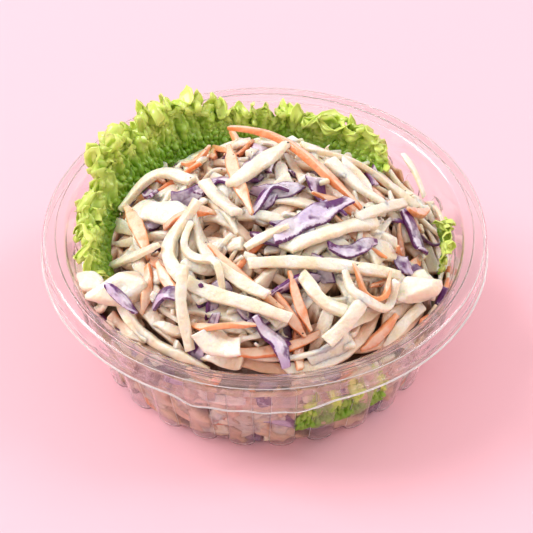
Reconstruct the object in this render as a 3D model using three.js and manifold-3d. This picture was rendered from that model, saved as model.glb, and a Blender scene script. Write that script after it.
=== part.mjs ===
// Coleslaw heaped in a clear thermoformed deli bowl, with frilly lettuce tucked round its edge.
// Millimetres, +Z up. The origin is the middle of the bowl's foot, on the surface it stands on.

import * as THREE from 'three'
import * as BufferGeometryUtils from 'three/addons/utils/BufferGeometryUtils.js'
import Module from 'manifold-3d'

const wasm = await Module()
wasm.setup()

// Bowl: a fluted wall, a flat flange round the mouth, and a skirt that turns down to a lip.
const BOWL_HEIGHT = 46
const SHEET = 0.6
const FOOT_RADIUS = 53.4
const HEEL_RADIUS = 56.2
const HEEL_HEIGHT = 3
const MOUTH_RADIUS = 67.4
const RIM_RADIUS = 75
const LIP_RADIUS = 75.9
const LIP_HEIGHT = 37.4
const TAB_DROP = 2.6
const TAB_FROM = -115
const TAB_TO = -72

// Flutes: rounded ribs that stand proud of the wall and end in an arch under the rim.
const FLUTES = 27
const FLUTE_DEPTH = 2.3
const FLUTE_WIDTH = 8.6
const FLUTE_TOP = 36.4
const FLUTE_PHASE = -90 + 5.7

// Salad: it fills the bowl and stands in a dome over the rim, with a lower ledge where lettuce
// or free space lies between the dome and the wall. Heights with LEVEL in their name are over the rim.
const GAP = 0.35
const DOME_LEVEL = 23
const DOME_FALL = 2.2
const EDGE_RADIUS = 63.5
const EDGE_LEVEL = -4
const LEDGE_LEVEL = -10
const LETTUCE_SETBACK = 15
const SPACE_SETBACK = 8
const LUMP_HEIGHT = 1.3
const CORE_COLUMNS = 44
const GOLDEN_ANGLE = 137.508

const RAD = Math.PI / 180

// Shreds laid on the dome by hand, largest first. Points are x, y and height over the rim.
const PLACED_SHREDS = {
  long_carrot: { width: 4.4, thick: 2.4, points: [[-12, 37, 14], [9, 17, 22], [33, -8, 18.5]] },
  flat_white: { width: 4.6, thick: 2.0, points: [[7, 12, 26], [-8, -5, 24.5]] },
  long_white: { width: 3.6, thick: 2.6,
    points: [[-4, -36, 18], [20, -34, 18], [43, -28, 10], [54, -24, 3]] },
  broad_white: { width: 5.0, thick: 2.0, points: [[-1, -30, 21], [20, -25, 21.5], [42, -7, 14]] },
  broad_red: { width: 4.6, thick: 1.6, points: [[6, -28, 22], [16, -21, 24], [27, -11, 21.5]] },
  arched_white: { width: 3.6, thick: 2.4, points: [[-49, 12, 6], [-35, 13, 13], [-21, -3, 22]] },
  left_carrot: { width: 4.4, thick: 2.6, points: [[-45, 2, 10], [-41, -12, 14], [-37, -24, 14]] },
  looped_white: { width: 3.4, thick: 2.4,
    points: [[-25, -21, 18], [-29, -29, 15], [-24, -38, 14], [-12, -43, 14], [7, -53, 7]] },
  edged_carrot: { width: 3.2, thick: 2.0, points: [[-18, -30, 19], [-6, -39, 17], [6, -48, 11]] },
  upright_carrot: { width: 3.6, thick: 2.2, points: [[-11, 14, 23], [-8, -5, 25], [-4, -24, 22]] },
  thin_carrot: { width: 2.6, thick: 1.8, points: [[9, -39, 17], [11, -46, 12], [15, -53, 6]] },
  front_carrot: { width: 3.0, thick: 2.0, points: [[-23, -51, 5], [-14, -55, 5], [-3, -55, 5]] },
  rim_carrot: { width: 3.0, thick: 1.8, points: [[12, -53, 4], [11, -60, -1], [13, -62, -5]] },
  right_red: { width: 5.5, thick: 1.6, points: [[42, -22, 12], [47, -9, 11], [52, -15, 5]] },
  middle_red: { width: 4.5, thick: 1.6, points: [[22, -30, 17], [30, -27, 16], [36, -21, 15]] },
  back_white: { width: 4.2, thick: 2.0, points: [[14, 14, 24], [31, 13, 17], [50, 15, 3]] },
  right_white: { width: 3.6, thick: 2.2, points: [[31, -16, 18], [45, 0, 13]] },
  tip_carrot: { width: 3.2, thick: 1.8, points: [[-45, 24, 5], [-35, 15, 13], [-24, 12, 18]] },
  top_red: { width: 4.0, thick: 1.6, points: [[-21, 6, 20], [-12, 0, 24], [-2, -4, 25]] },
}
const SCATTERED_SHREDS = 54
const SHRED_STEPS = 4
const SMALLEST_FEATURE = 0.15
const WELD = 1e-3

// Cabbage leaf pieces, broader than the shreds.
const LEAF_CHUNKS = {
  left_chunk: { width: 12, thick: 2.4, points: [[-55, -19, 0], [-46, -28, 4], [-36, -40, 5]] },
  front_chunk: { width: 9, thick: 2.0, points: [[-8, -56, 4], [3, -58, 1]] },
}

// Lettuce leaves: an arc of the mouth from and to an angle, the steps along it and the rows up the
// leaf, and the number and depth of its ruffles.
const LEAVES = {
  lettuce_back: { from: 45, to: 158, steps: 44, rows: 5, ruffles: 8, depth: 2.6 },
  lettuce_left: { from: 163, to: 196, steps: 16, rows: 5, ruffles: 3, depth: 1.6 },
  lettuce_right: { from: -11, to: 9, steps: 10, rows: 4, ruffles: 2, depth: 1.0 },
  lettuce_front: { from: -78, to: -50, steps: 14, rows: 4, ruffles: 3, depth: 0.35 },
}
const LEAF_THICKNESS = 0.8
const FRONT_POCKET = 3.4

function mix(a, b, t) {
  return a + (b - a) * t
}

function smooth(from, to, value) {
  return THREE.MathUtils.smoothstep(value, from, to)
}

// Angle in degrees brought to -180 up to 180 round a centre.
function turnFrom(angle, centre) {
  return THREE.MathUtils.euclideanModulo(angle - centre + 180, 360) - 180
}

// Rises from 0 to 1 within `soft` degrees inside both ends of a stretch of angles.
function stretch(angle, from, to, soft) {
  const half = (to - from) / 2
  return 1 - smooth(half - soft, half, Math.abs(turnFrom(angle, from + half)))
}

// Seeded draw between 0 and 1 by a linear congruential generator, so that every build scatters the
// shreds alike.
let seed = 20243
function draw() {
  seed = (seed * 1664525 + 1013904223) % 4294967296
  return seed / 4294967296
}

// ---- bowl ----

// Middle of the sheet between the flutes, as radius at a height over the foot.
function wallRadius(z) {
  return mix(HEEL_RADIUS, MOUTH_RADIUS - 0.4, (z - HEEL_HEIGHT) / (BOWL_HEIGHT - HEEL_HEIGHT))
}

// A flute is an upright capsule on the unrolled wall, raised by a rounded cushion.
function fluteRise(angle, z) {
  const pitch = 360 / FLUTES
  const offset = turnFrom(angle, FLUTE_PHASE) / pitch
  const across = (offset - Math.round(offset)) * pitch * RAD * wallRadius(z)
  const above = Math.max(0, z - (FLUTE_TOP - FLUTE_WIDTH / 2))
  const away = Math.hypot(across, above) / (FLUTE_WIDTH / 2)
  return FLUTE_DEPTH * Math.sqrt(Math.max(0, 1 - away ** 3))
}

// The sheet's middle line from the foot's centre to the lip: radius, height and share of the flutes.
const arch = FLUTE_TOP - FLUTE_WIDTH / 2
const sheetLine = [
  [0, SHEET / 2, 0],
  [FOOT_RADIUS, SHEET / 2, 1],
  [HEEL_RADIUS - 0.5, 1.1, 1],
  [HEEL_RADIUS, HEEL_HEIGHT, 1],
  [wallRadius(arch), arch, 1],
  [wallRadius(FLUTE_TOP - 1.4), FLUTE_TOP - 1.4, 1],
  [wallRadius(FLUTE_TOP), FLUTE_TOP, 0],
  [MOUTH_RADIUS - 0.4, BOWL_HEIGHT - 2.2, 0],
  [MOUTH_RADIUS + 0.9, BOWL_HEIGHT - SHEET / 2, 0],
  [RIM_RADIUS - SHEET / 2, BOWL_HEIGHT - SHEET / 2, 0],
  [RIM_RADIUS - 0.1, BOWL_HEIGHT - 4.6, 0],
  [LIP_RADIUS - SHEET / 2, LIP_HEIGHT, 0],
]

// Both faces of the sheet: its middle line moved half the thickness each way along its normal.
function sheetFaces() {
  const point = ([r, z]) => new THREE.Vector2(r, z)
  const offset = sheetLine.map((entry, i) => {
    const before = point(sheetLine[Math.max(0, i - 1)])
    const after = point(sheetLine[Math.min(sheetLine.length - 1, i + 1)])
    const along = after.sub(before).normalize()
    return new THREE.Vector2(along.y, -along.x).multiplyScalar(SHEET / 2)
  })
  const face = (side) => sheetLine.map(([r, z, share], i) => {
    const radius = i === 0 ? 0 : r + offset[i].x * side
    const height = i < 2 ? z - side * SHEET / 2 : z + offset[i].y * side
    return [radius, height, share]
  })
  return [...face(1), ...face(-1).reverse()]
}

function bowlGeometry() {
  const across = [-0.5, -0.2, 0.2, 0.5].map((k) => k * FLUTE_WIDTH / wallRadius(arch) / RAD)
  const angles = []
  for (let flute = 0; flute < FLUTES; flute += 1) {
    across.forEach((offset) => angles.push(FLUTE_PHASE + flute * 360 / FLUTES + offset))
  }
  const rows = sheetFaces().map(([r, z, share]) => angles.map((angle) => {
    const rise = share * fluteRise(angle, z)
    const drop = z < LIP_HEIGHT + 1 && r > MOUTH_RADIUS
      ? TAB_DROP * stretch(angle, TAB_FROM, TAB_TO, 9) : 0
    return polar(r === 0 ? 0 : r + rise, angle, z - drop)
  }))
  return closedSurface(rows)
}

// ---- surfaces ----

function polar(r, angle, z) {
  return new THREE.Vector3(r * Math.cos(angle * RAD), r * Math.sin(angle * RAD), z)
}

// A closed body from rings of points, each ring closed on itself, the first and last each a pole.
// Rings run from the underside outwards and back over the top, so that faces point out.
function closedSurface(rows) {
  return merged(rows, ringFaces(rows))
}

// Two triangles between each two neighbouring points of two neighbouring rings.
function ringFaces(rows) {
  const count = rows[0].length
  const index = []
  for (let i = 0; i < rows.length - 1; i += 1) {
    for (let j = 0; j < count; j += 1) {
      const a = i * count + j
      const b = i * count + (j + 1) % count
      index.push(a, b, b + count, a, b + count, a + count)
    }
  }
  return index
}

// A geometry whose points that fall together are one point, without the triangles that this empties.
function merged(rows, index) {
  const positions = rows.flat().flatMap((p) => [p.x, p.y, p.z])
  const geometry = new THREE.BufferGeometry()
  geometry.setAttribute('position', new THREE.Float32BufferAttribute(positions, 3))
  geometry.setIndex(index)
  const welded = BufferGeometryUtils.mergeVertices(geometry, WELD)
  const kept = []
  for (let i = 0; i < welded.index.count; i += 3) {
    const [a, b, c] = [0, 1, 2].map((k) => welded.index.getX(i + k))
    if (a !== b && b !== c && c !== a) kept.push(a, b, c)
  }
  welded.setIndex(kept)
  return welded
}

function toManifold(geometry) {
  return new wasm.Manifold(new wasm.Mesh({
    numProp: 3,
    vertProperties: new Float32Array(geometry.attributes.position.array),
    triVerts: new Uint32Array(geometry.index.array),
  }))
}

function fromManifold(solid) {
  const mesh = solid.getMesh()
  const geometry = new THREE.BufferGeometry()
  geometry.setAttribute('position', new THREE.Float32BufferAttribute(mesh.vertProperties, 3))
  geometry.setIndex(Array.from(mesh.triVerts))
  return geometry
}

// ---- salad ----

// How far an angle lies in the lettuce's stretch, and in the free space at the right: 0 to 1.
function lettuceShare(angle) {
  return stretch(angle, 30, 214, 16)
}

function spaceShare(angle) {
  return stretch(angle, -28, 60, 16)
}

function edgeRadius(angle) {
  const setback = Math.max(LETTUCE_SETBACK * lettuceShare(angle), SPACE_SETBACK * spaceShare(angle))
  return EDGE_RADIUS - setback
}

function edgeLevel(angle) {
  return mix(EDGE_LEVEL, LEDGE_LEVEL, Math.max(lettuceShare(angle), spaceShare(angle)))
}

// Height of the heap over the foot: a dome inside its edge and a level ledge outside.
function heapHeight(x, y) {
  const angle = Math.atan2(y, x) / RAD
  const share = Math.min(1, Math.hypot(x, y) / edgeRadius(angle))
  return BOWL_HEIGHT + mix(DOME_LEVEL, edgeLevel(angle), share ** DOME_FALL)
}

// Soft unevenness of the heap's surface.
function lumps(x, y) {
  const broad = Math.sin(0.31 * x + 1.7) * Math.cos(0.27 * y - 0.4)
  const slanting = 0.5 * Math.sin(0.55 * y + 0.4 * x)
  return LUMP_HEIGHT * (broad + slanting)
}

// Room left in the salad's side for the lettuce that shows through the wall at the front.
function pocketDepth(angle, z) {
  const leaf = LEAVES.lettuce_front
  const inside = stretch(angle, leaf.from - 10, leaf.to + 10, 8)
  return FRONT_POCKET * inside * (1 - smooth(37, 40, z)) * smooth(2, 5, z)
}

function coreGeometry() {
  const angles = Array.from({ length: CORE_COLUMNS }, (_, i) => i * 360 / CORE_COLUMNS)
  const limit = (z) => wallRadius(z) - SHEET / 2 - GAP - 0.3
  const floor = SHEET + GAP
  const rows = [angles.map(() => new THREE.Vector3(0, 0, floor))]
  rows.push(angles.map((angle) => polar(FOOT_RADIUS - 2.2, angle, floor)))
  for (const z of [3.2, 5.5, 20, 34]) {
    rows.push(angles.map((angle) => polar(limit(z) - pocketDepth(angle, z), angle, z)))
  }
  rows.push(angles.map((angle) => {
    const z = BOWL_HEIGHT + edgeLevel(angle)
    return polar(limit(z), angle, z)
  }))
  for (const share of [1, 0.86, 0.7, 0.5, 0.28]) {
    rows.push(angles.map((angle) => {
      const r = Math.min(edgeRadius(angle) * share, limit(BOWL_HEIGHT + edgeLevel(angle)) - 0.5)
      const p = polar(r, angle, 0)
      p.z = heapHeight(p.x, p.y) + (share < 1 ? lumps(p.x, p.y) : 0)
      return p
    }))
  }
  rows.push(angles.map(() => new THREE.Vector3(0, 0, heapHeight(0, 0))))
  return closedSurface(rows)
}

// A shred is a strip of rectangular section along a curve, its broad side lying on the heap.
function shredGeometry(curve, width, thick, roll, steps) {
  const rows = []
  for (let i = 0; i <= steps; i += 1) {
    const at = curve.getPoint(i / steps)
    const along = curve.getTangent(i / steps)
    const out = new THREE.Vector3(at.x * 0.012, at.y * 0.012, 1).normalize()
    const side = new THREE.Vector3().crossVectors(along, out).normalize()
    const up = new THREE.Vector3().crossVectors(side, along)
    side.applyAxisAngle(along, roll)
    up.applyAxisAngle(along, roll)
    const corner = (s, u) => {
      return at.clone().addScaledVector(side, s * width / 2).addScaledVector(up, u * thick / 2)
    }
    rows.push([corner(-1, -1), corner(-1, 1), corner(1, 1), corner(1, -1)])
  }
  const startPole = rows[0].map(() => curve.getPoint(0))
  const endPole = rows[steps].map(() => curve.getPoint(1))
  return closedSurface([startPole, ...rows, endPole])
}

function placedCurve(points) {
  const lifted = points.map(([x, y, level]) => new THREE.Vector3(x, y, BOWL_HEIGHT + level))
  return new THREE.CatmullRomCurve3(lifted, false, 'centripetal')
}

// Scattered shreds sit at even steps of the golden angle over the dome, each bent and tilted. One
// that would stick out past the dome's edge is turned until it lies inside.
function scatteredShred(i) {
  const share = Math.sqrt((i + 0.5) / SCATTERED_SHREDS)
  const angle = i * GOLDEN_ANGLE
  const centre = polar(share * (edgeRadius(angle) - 5), angle, 0)
  const length = mix(16, 36, draw() ** 1.4)
  const bend = (draw() - 0.5) * 0.07
  const tilt = (draw() - 0.5) * 0.3
  const width = mix(2.8, 4.4, draw())
  const thick = mix(1.8, 2.6, draw())
  const roll = (draw() - 0.5) * 1.2
  const start = draw() * Math.PI
  for (let turn = 0; turn < Math.PI; turn += Math.PI / 8) {
    const points = shredPath(centre, length, start + turn, bend, tilt)
    if (points.every(liesInside)) {
      return shredGeometry(new THREE.CatmullRomCurve3(points), width, thick, roll, SHRED_STEPS)
    }
  }
  return null
}

function shredPath(centre, length, heading, bend, tilt) {
  return [-0.5, -0.17, 0.17, 0.5].map((k) => {
    const s = k * length
    const x = centre.x + s * Math.cos(heading + bend * s / 2)
    const y = centre.y + s * Math.sin(heading + bend * s / 2)
    return new THREE.Vector3(x, y, heapHeight(x, y) + lumps(x, y) + 0.5 + tilt * s)
  })
}

function liesInside(point) {
  return Math.hypot(point.x, point.y) < edgeRadius(Math.atan2(point.y, point.x) / RAD) - 2.4
}

// Core and shreds fused to one body.
function heapGeometry() {
  let heap = toManifold(coreGeometry())
  const strips = []
  for (const shred of Object.values({ ...PLACED_SHREDS, ...LEAF_CHUNKS })) {
    const steps = SHRED_STEPS + (shred.points.length > 3 ? 4 : 0)
    strips.push(shredGeometry(placedCurve(shred.points), shred.width, shred.thick, 0, steps))
  }
  for (let i = 0; i < SCATTERED_SHREDS; i += 1) {
    const strip = scatteredShred(i)
    if (strip) strips.push(strip)
  }
  strips.forEach((strip) => {
    heap = heap.add(toManifold(strip))
  })
  return fromManifold(outerSkin(heap.asOriginal().simplify(SMALLEST_FEATURE)))
}

// The outer skin of the largest piece of a solid: pockets sealed inside it are skins of their own,
// so leaving them out fills them, and loose scraps are dropped with them.
function outerSkin(solid) {
  return solid.decompose().reduce((best, next) => (next.volume() > best.volume() ? next : best))
}

// ---- lettuce ----

// Root and tip of each leaf at a share u of its arc: radius, and height over the rim.
const LEAF_SECTIONS = {
  lettuce_back: (angle) => {
    const raised = stretch(angle, 92, 172, 26)
    return { root: [edgeRadius(angle) + 2.6, -8], tip: [mix(58, 64.5, raised), mix(2.5, 12.5, raised)] }
  },
  lettuce_left: (angle) => {
    return { root: [edgeRadius(angle) + 2.6, -8], tip: [62, mix(1.5, -1, smooth(170, 195, angle))] }
  },
  lettuce_right: () => ({ root: [59.5, -8], tip: [61, -1.5] }),
  lettuce_front: () => ({ root: [57.1, -37], tip: [61.1, -14] }),
}

// A thin wavy sheet: its middle runs from root to tip, and ruffles of growing depth push it
// along its own normal. Both faces share one grid, so that they are split into triangles alike.
function leafGeometry(name) {
  const leaf = LEAVES[name]
  const face = (side) => {
    const rows = []
    for (let j = 0; j <= leaf.rows; j += 1) {
      const row = []
      for (let i = 0; i <= leaf.steps; i += 1) {
        row.push(leafPoint(name, i / leaf.steps, j / leaf.rows, side * LEAF_THICKNESS / 2))
      }
      rows.push(row)
    }
    return rows
  }
  const outer = face(-1)
  const inner = face(1)
  const rings = outer.map((row, j) => [...row, ...inner[j].slice().reverse()])
  return cappedSheet(rings, leaf.steps + 1)
}

function leafPoint(name, u, v, offset) {
  const leaf = LEAVES[name]
  const angle = mix(leaf.from, leaf.to, u)
  const { root, tip } = LEAF_SECTIONS[name](angle)
  const ends = Math.sqrt(Math.sin(Math.PI * mix(0.06, 0.94, u)))
  const reach = v * mix(0.55, 1, ends)
  const along = new THREE.Vector2(tip[0] - root[0], tip[1] - root[1]).normalize()
  const ruffle = leaf.depth * v ** 1.4 * Math.sin(2 * Math.PI * leaf.ruffles * u + 1.1 * Math.sin(5 * u))
  const frill = 0.9 * leaf.depth * v ** 2 * Math.cos(2 * Math.PI * leaf.ruffles * u * 1.7)
  const push = ruffle + offset
  const r = mix(root[0], tip[0], reach) - along.y * push
  const z = mix(root[1], tip[1], reach) + along.x * push + 0.5 * frill
  return polar(r, angle, BOWL_HEIGHT + z)
}

// A sheet from rings that run along one face and back along the other, closed at both edges.
function cappedSheet(rings, half) {
  const count = rings[0].length
  const index = ringFaces(rings)
  const last = (rings.length - 1) * count
  for (let j = 0; j < half - 1; j += 1) {
    const mate = count - 1 - j
    index.push(j + 1, j, mate, j + 1, mate, mate - 1)
    index.push(last + j, last + j + 1, last + mate, last + j + 1, last + mate - 1, last + mate)
  }
  return merged(rings, index)
}

// ---- materials and scene graph ----

const clearPlastic = new THREE.MeshStandardMaterial({
  name: 'clear_plastic', color: '#e8eef0', roughness: 0.06, metalness: 0, transparent: true, opacity: 0.3,
})
const dressedSalad = new THREE.MeshStandardMaterial({
  name: 'dressed_salad', color: '#f1e4cc', roughness: 0.45, metalness: 0,
})
const lettuceLeaf = new THREE.MeshStandardMaterial({
  name: 'lettuce_leaf', color: '#8fb52a', roughness: 0.5, metalness: 0, side: THREE.DoubleSide,
})

function piece(name, geometry, material) {
  const mesh = new THREE.Mesh(geometry, material)
  mesh.name = name
  mesh.geometry.computeVertexNormals()
  return mesh
}

const coleslaw = new THREE.Group()
coleslaw.add(piece('bowl', bowlGeometry(), clearPlastic))
coleslaw.add(piece('coleslaw_heap', heapGeometry(), dressedSalad))
Object.keys(LEAVES).forEach((name) => {
  coleslaw.add(piece(name, leafGeometry(name), lettuceLeaf))
})

export default coleslaw
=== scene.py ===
"""Coleslaw heaped in a clear deli bowl, with frilly lettuce tucked round its edge.

The bowl, the lettuce and the salad replace the plain solids of the frame. The salad is laid as a
kitchen would heap it: a map holds the height of what has been laid so far, and each shred rests on
the map under it and then raises it. Dressing fills the map's hollows. All lengths are millimetres
in the frame's own axes until a mesh is made; angles are degrees round the bowl from +X.
"""

import math

import bpy
import numpy as np
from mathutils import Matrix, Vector


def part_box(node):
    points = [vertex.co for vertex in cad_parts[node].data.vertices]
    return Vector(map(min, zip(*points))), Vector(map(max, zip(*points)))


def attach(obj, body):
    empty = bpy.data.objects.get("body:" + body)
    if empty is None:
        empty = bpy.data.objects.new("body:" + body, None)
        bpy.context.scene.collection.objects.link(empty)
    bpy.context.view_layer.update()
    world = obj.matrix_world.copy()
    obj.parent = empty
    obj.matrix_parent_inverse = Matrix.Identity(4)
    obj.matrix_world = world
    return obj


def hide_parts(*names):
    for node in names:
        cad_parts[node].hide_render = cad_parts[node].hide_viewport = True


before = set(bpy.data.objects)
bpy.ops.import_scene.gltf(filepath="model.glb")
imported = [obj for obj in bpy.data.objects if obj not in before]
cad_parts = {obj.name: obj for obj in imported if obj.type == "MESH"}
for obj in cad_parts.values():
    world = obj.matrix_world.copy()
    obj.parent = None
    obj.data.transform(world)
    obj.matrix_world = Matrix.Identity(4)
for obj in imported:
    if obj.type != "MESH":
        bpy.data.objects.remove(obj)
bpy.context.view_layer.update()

MM = 0.001
TAU = 2 * math.pi
rng = np.random.default_rng(11)

# ---- driving dimensions ----

# The bowl. Its rim is the bend at the flange's outer edge, and its lip is the edge of the skirt below,
# which a tab at the front draws lower. The smooth lip stays a hair inside the frame's.
bowl_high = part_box("bowl")[1]
BOWL_HEIGHT = bowl_high.z / MM
LIP_RADIUS = bowl_high.y / MM - 0.05
SHEET = 0.5
MOUTH_RADIUS = LIP_RADIUS - 8.5
RIM_RADIUS = LIP_RADIUS - 0.9
HEEL_RADIUS = LIP_RADIUS - 19.7
HEEL_HEIGHT = 3
LIP_HEIGHT = BOWL_HEIGHT - 8.6
TAB_DROP = 2.6
TAB_FROM, TAB_TO = -115, -72

# The flutes stand in the wall and push it outwards. One of them is centred on FLUTE_PHASE.
FLUTES = 27
FLUTE_PITCH = 360 / FLUTES
FLUTE_DEPTH = 2.3
FLUTE_WIDTH = 8.6
FLUTE_TOP = BOWL_HEIGHT - 9.6
FLUTE_PHASE = -90 + 5.7

# The salad's dome, the ledge round it where the lettuce and the free space are, and the angles between
# which those lie. Heights called level are over the rim.
DOME_LEVEL = 23
DOME_FALL = 2.2
EDGE_RADIUS = 63.5
EDGE_LEVEL = -4
LEDGE_LEVEL = -10
LETTUCE_SETBACK = 10
SPACE_SETBACK = 6
LETTUCE_ARC = 30, 214
SPACE_ARC = -28, 60
ARC_FADE = 16

# ---- angles and noise ----


def smooth(low, high, value):
    """Rises from 0 at low to 1 at high along 3t^2 - 2t^3."""
    t = np.clip((value - low) / (high - low), 0, 1)
    return t * t * (3 - 2 * t)


def turn_from(angle, centre):
    """An angle brought to -180 up to 180 round a centre."""
    return (angle - centre + 180) % 360 - 180


def stretch(angle, low, high, soft):
    """1 over a stretch of angles, falling to 0 within `soft` degrees inside both its ends."""
    half = (high - low) / 2
    return 1 - smooth(half - soft, half, np.abs(turn_from(angle, low + half)))


def mix(a, b, t):
    return a + (b - a) * t


def waves(seed, coordinates, sizes, count=5):
    """Soft noise of about -1 to 1: the mean of sines along random directions, one set for each size."""
    draw = np.random.default_rng(seed)
    total = 0
    for size, strength in sizes:
        for _ in range(count):
            direction = draw.normal(size=len(coordinates))
            direction *= TAU / size / np.linalg.norm(direction)
            phase = draw.uniform(0, TAU)
            total = total + strength * np.sin(sum(d * c for d, c in zip(direction, coordinates)) + phase)
    return total / math.sqrt(count)


# ---- meshes ----


def new_object(name, data):
    made = bpy.data.objects.new(name, data)
    bpy.context.collection.objects.link(made)
    return made


def make_piece(name, node, material, points, faces, marks=None, depth=None):
    """One object at the origin with its place in its mesh, riding on the part and standing for a node.
    `faces` are blocks of faces with equal corners. `marks` are each point's place across and along its
    shred and the shred's tint, and `depth` is how deep it lies in the heap, from 0 to 1."""
    mesh = bpy.data.meshes.new(name)
    mesh.from_pydata((points * MM).tolist(), [], [face for block in faces for face in block.tolist()])
    mesh.polygons.foreach_set("use_smooth", np.ones(len(mesh.polygons), dtype=bool))
    if marks is not None:
        attribute = mesh.attributes.new("shred", "FLOAT_VECTOR", "POINT")
        attribute.data.foreach_set("vector", marks.astype(np.float32).ravel())
    # The depth sets how much painted shade the materials put on the piece.
    if depth is not None:
        attribute = mesh.attributes.new("depth", "FLOAT", "POINT")
        attribute.data.foreach_set("value", depth.astype(np.float32))
    mesh.materials.append(material)
    mesh.update()
    piece = new_object(name, mesh)
    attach(piece, "root")
    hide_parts(node)
    return piece


def grid_faces(rows, columns):
    """Quads between neighbouring points of a grid, each row closed on itself."""
    i, j = np.meshgrid(np.arange(rows - 1), np.arange(columns), indexing="ij")
    a = i * columns + j
    b = i * columns + (j + 1) % columns
    return np.stack([a, b, b + columns, a + columns], axis=-1).reshape(-1, 4)


def fan_faces(centre, ring, with_ring):
    """Triangles from a centre to a closed ring of points, turned with the ring or against it."""
    after = np.roll(ring, -1)
    edge = (ring, after) if with_ring else (after, ring)
    return np.stack([np.full(len(ring), centre), *edge], axis=-1)


def closed_grid_faces(rows, columns):
    """A grid's quads and two fans that close it, round two centres that follow the grid's points."""
    first = np.arange(columns)
    count = rows * columns
    return [grid_faces(rows, columns), fan_faces(count, first, False),
            fan_faces(count + 1, count - columns + first, True)]


def polar(radius, angle, height):
    """Points at a radius, an angle in degrees and a height."""
    radius, angle, height = np.broadcast_arrays(radius, np.radians(angle), height)
    return np.stack([radius * np.cos(angle), radius * np.sin(angle), height], axis=-1)


def unit(vectors):
    return vectors / np.maximum(np.linalg.norm(vectors, axis=-1, keepdims=True), 1e-9)


class Gathering:
    """The bodies of one piece, collected as arrays until they become one mesh."""

    def __init__(self, name):
        self.name = name
        self.points, self.faces, self.marks, self.depths = [], [], [], []
        self.count = 0

    def take(self, points, faces, marks=None, depth=None):
        """Adds one body. Its depth, unless it is given, is its distance under the dome's surface."""
        if marks is None:
            marks = np.zeros((len(points), 3))
        if depth is None:
            depth = smooth(0, DEEP, heap_height(points[:, 0], points[:, 1]) - points[:, 2])
        self.points.append(points)
        self.faces.extend(block + self.count for block in faces)
        self.marks.append(marks)
        self.depths.append(np.broadcast_to(depth, len(points)))
        self.count += len(points)

    def piece(self, slot, node, material):
        return make_piece(self.name, node, material, np.vstack(self.points), self.faces,
                          np.vstack(self.marks), np.concatenate(self.depths))


# ---- bowl ----


def wall_radius(z):
    """Middle of the sheet between the flutes: a cone from the heel up to the mouth."""
    return mix(HEEL_RADIUS, MOUTH_RADIUS - 0.4, (z - HEEL_HEIGHT) / (BOWL_HEIGHT - HEEL_HEIGHT))


def flute_rise(angle, z):
    """A flute is an upright capsule on the unrolled wall, raised by a cushion: depth * sqrt(1 - d^2.2),
    where d is the distance from the capsule's axis over half its width."""
    offset = turn_from(angle, FLUTE_PHASE) / FLUTE_PITCH
    across = (offset - np.round(offset)) * np.radians(FLUTE_PITCH) * wall_radius(z)
    above = np.maximum(0, z - (FLUTE_TOP - FLUTE_WIDTH / 2))
    away = np.hypot(across, above) / (FLUTE_WIDTH / 2)
    return FLUTE_DEPTH * np.sqrt(np.maximum(0, 1 - away**2.2))


def inner_wall(angle, z):
    """Radius of the bowl's inner face."""
    return wall_radius(z) + flute_rise(angle, z) - SHEET / 2


def rounded_line(corners):
    """A line through corners (radius, height, rounding): each corner is a quadratic Bezier curve from
    `rounding` before it to `rounding` after it, and each straight run is split at least every 4 mm."""
    line = [np.array(corners[0][:2], float)]
    for before, here, after in zip(corners, corners[1:], corners[2:]):
        p, r = np.array(here[:2], float), here[2]
        start = p + unit(np.array(before[:2]) - p) * r
        end = p + unit(np.array(after[:2]) - p) * r
        t = np.linspace(0, 1, 2 + int(r * 3))[:, None]
        curve = (1 - t) ** 2 * start + 2 * t * (1 - t) * p + t**2 * end
        runs = max(1, int(np.linalg.norm(start - line[-1]) / 4))
        line.extend(line[-1] + (start - line[-1]) * k / runs for k in range(1, runs))
        line.extend(curve)
    line.append(np.array(corners[-1][:2], float))
    return np.array(line)


def lip_drop(angles):
    """How far the lift tab draws the lip down, with an uneven edge."""
    ragged = 0.8 + 0.2 * np.sin(angles * 0.5 + 1) * np.sin(angles * 0.23)
    return TAB_DROP * stretch(angles, TAB_FROM, TAB_TO, 7) * ragged


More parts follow.
